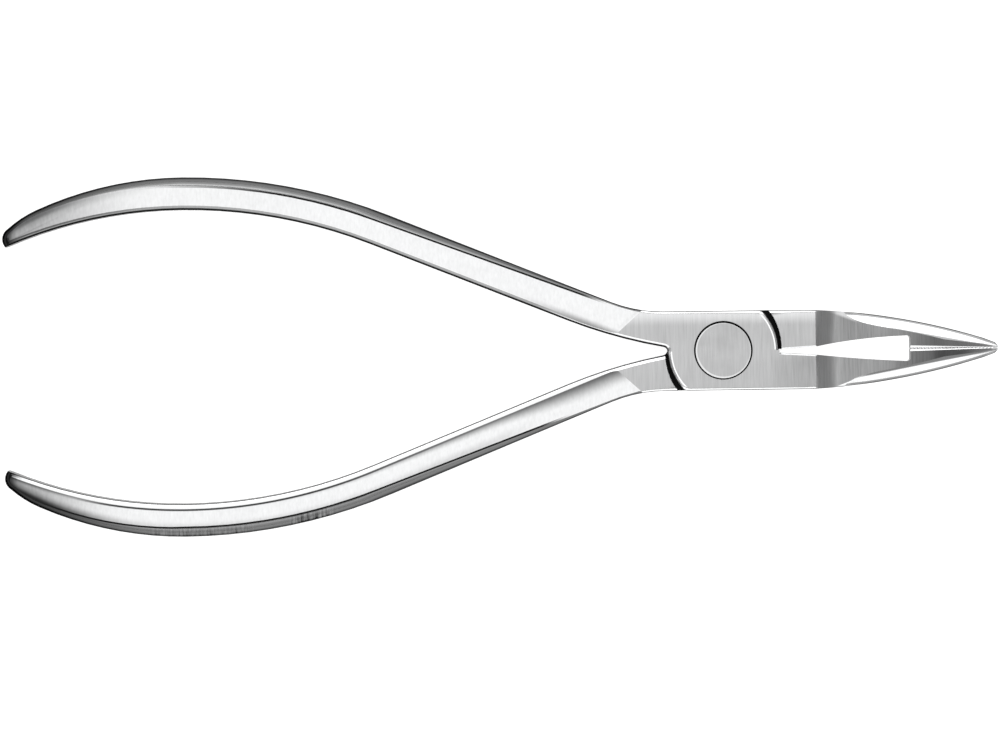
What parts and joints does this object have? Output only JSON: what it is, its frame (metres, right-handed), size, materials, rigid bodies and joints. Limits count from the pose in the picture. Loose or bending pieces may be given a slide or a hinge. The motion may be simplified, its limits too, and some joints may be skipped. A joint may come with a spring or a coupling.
{
  "type": "orthodontic pliers",
  "caption": "Slim satin steel pliers with a riveted half-lap joint, bowed handles and tapering upturned jaws with fine serrations, for placing and gripping orthodontic wire.",
  "frame": {"origin": "on the pivot's axis, in the plane of the joint's rear face that the pliers rest on", "axes": "+X from the pivot to the jaw tips, +Y to the front half's handle side, +Z out of the joint's front face, along the pivot"},
  "size_m": [0.1399, 0.0508, 0.0094],
  "materials": {
    "satin_steel": "satin ground faces with polished edges",
    "rivet_steel": "ground flush with the joint"
  },
  "bodies": {
    "rear_half": {"rear_half": "satin_steel", "pivot_rivet": "rivet_steel"},
    "front_half": {"front_half": "satin_steel"}
  },
  "joints": [
    {"name": "pivot", "type": "hinge", "parent": "rear_half", "child": "front_half", "pos_m": [0, 0, 0.0034], "axis": [0, 0, -1], "range_deg": [0, 30]}
  ]
}
